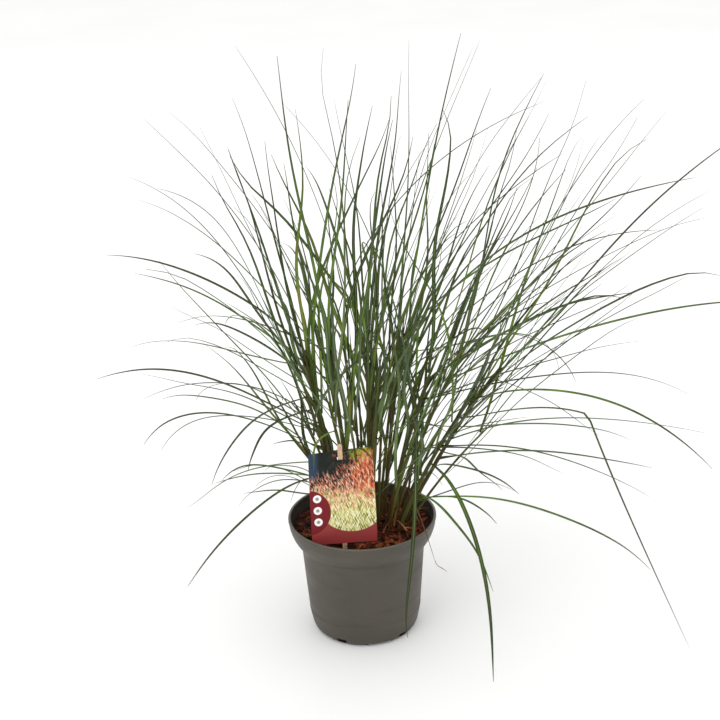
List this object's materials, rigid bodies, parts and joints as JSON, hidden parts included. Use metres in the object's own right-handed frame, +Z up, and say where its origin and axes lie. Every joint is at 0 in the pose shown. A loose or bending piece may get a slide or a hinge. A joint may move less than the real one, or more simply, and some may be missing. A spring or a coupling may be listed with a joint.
{
  "type": "potted ornamental grass clump",
  "caption": "Clump of narrow arching ornamental grass in a round nursery pot, with bark mulch and a plant label on a stick.",
  "frame": {"origin": "centre of the pot's underside, on the surface it stands on", "axes": "+Z up along the pot's axis, the plant label faces -Y"},
  "size_m": [0.8332, 0.6603, 0.7582],
  "materials": {
    "pot_plastic": "taupe-grey moulded plastic, satin, lightly soiled",
    "potting_soil": "dark damp potting soil bound by fine roots",
    "bark_mulch": "red-brown shredded bark",
    "label_card": null,
    "label_stake": "pale flat wooden stick",
    "tiller_sheath": "olive leaf sheaths with red-brown streaks",
    "leaf_blade": "green grass leaf, paler along its midrib, blue-green below"
  },
  "bodies": {
    "root": {"pot": "pot_plastic", "root_ball": "potting_soil", "bark_mulch": "bark_mulch", "label_card": "label_card", "label_stake": "label_stake", "tiller_right_outer": "tiller_sheath", "tiller_right_front": "tiller_sheath", "tiller_right_back": "tiller_sheath", "tiller_right_inner": "tiller_sheath", "tiller_back_right": "tiller_sheath", "tiller_centre": "tiller_sheath", "tiller_front": "tiller_sheath", "tiller_back": "tiller_sheath", "tiller_back_left": "tiller_sheath", "tiller_left_inner": "tiller_sheath", "tiller_left_front": "tiller_sheath", "tiller_left_outer": "tiller_sheath", "tiller_left_back": "tiller_sheath", "tiller_front_left": "tiller_sheath", "blade_crown_1": "leaf_blade", "blade_crown_2": "leaf_blade", "blade_crown_3": "leaf_blade", "blade_crown_4": "leaf_blade", "blade_crown_5": "leaf_blade", "blade_crown_6": "leaf_blade", "blade_crown_7": "leaf_blade", "blade_crown_8": "leaf_blade", "blade_crown_9": "leaf_blade", "blade_crown_10": "leaf_blade", "blade_crown_11": "leaf_blade", "blade_upper_right_1": "leaf_blade", "blade_upper_right_2": "leaf_blade", "blade_upper_right_3": "leaf_blade", "blade_upper_right_4": "leaf_blade", "blade_upper_right_5": "leaf_blade", "blade_upper_right_6": "leaf_blade", "blade_upper_right_7": "leaf_blade", "blade_right_1": "leaf_blade", "blade_right_2": "leaf_blade", "blade_right_3": "leaf_blade", "blade_right_4": "leaf_blade", "blade_right_5": "leaf_blade", "blade_right_6": "leaf_blade", "blade_right_7": "leaf_blade", "blade_right_8": "leaf_blade", "blade_right_9": "leaf_blade", "blade_front_1": "leaf_blade", "blade_front_2": "leaf_blade", "blade_front_3": "leaf_blade", "blade_left_1": "leaf_blade", "blade_left_2": "leaf_blade", "blade_left_3": "leaf_blade", "blade_left_4": "leaf_blade", "blade_left_5": "leaf_blade", "blade_left_6": "leaf_blade", "blade_upper_left_1": "leaf_blade", "blade_upper_left_2": "leaf_blade", "blade_back_1": "leaf_blade", "blade_back_2": "leaf_blade", "blade_back_3": "leaf_blade"}
  },
  "joints": []
}
